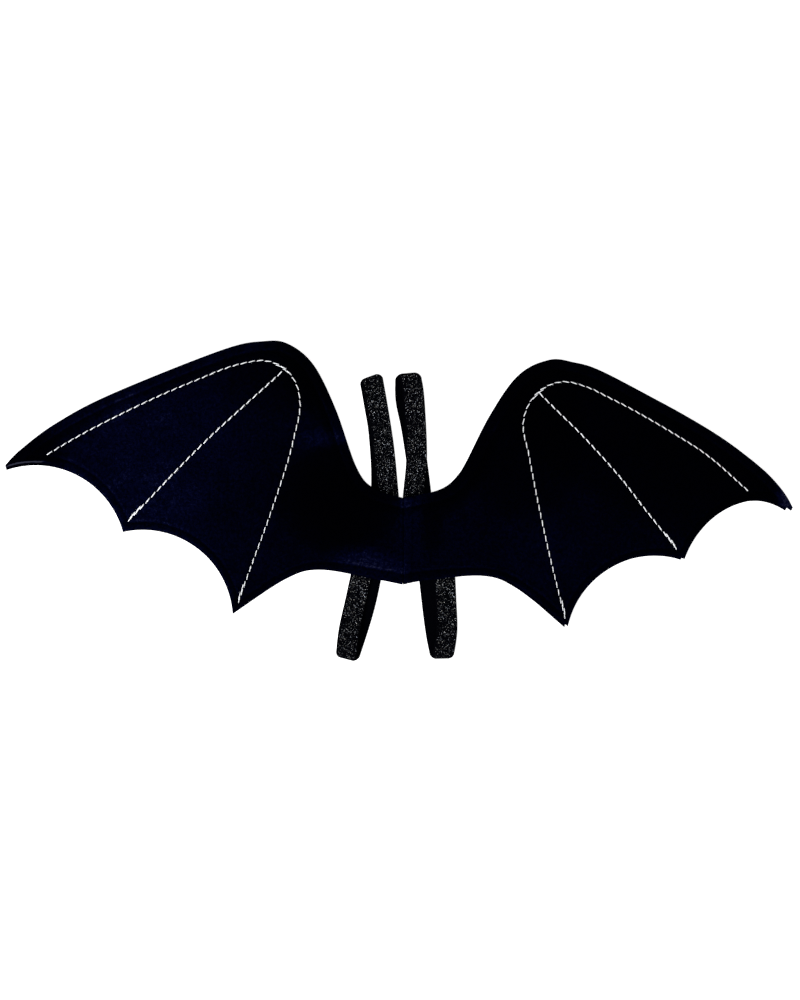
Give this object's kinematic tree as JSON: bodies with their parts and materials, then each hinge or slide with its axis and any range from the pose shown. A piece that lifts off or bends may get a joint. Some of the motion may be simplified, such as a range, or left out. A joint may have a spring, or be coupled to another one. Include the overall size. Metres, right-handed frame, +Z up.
{
  "type": "bat wings",
  "caption": "Child's costume bat wings in black felt, laid flat: scalloped wings joined at a back panel, with elastic arm loops folded behind it.",
  "frame": {"origin": "on the floor, under the middle of the whole outline", "axes": "+X from wing tip to wing tip, to the right as seen from above; +Y towards the neck edge; +Z up from the floor, out of the face with the white stitches"},
  "size_m": [0.7876, 0.3206, 0.011],
  "materials": {
    "felt": "near-black navy craft felt with a soft matt nap, white running stitch along the wing fingers",
    "elastic": "black woven elastic with fine silver glitter on its outer face"
  },
  "bodies": {
    "root": {"front_left_wing": "felt", "front_right_wing": "felt", "back_left_wing": "felt", "back_right_wing": "felt", "left_strap": "elastic", "right_strap": "elastic"}
  },
  "joints": []
}
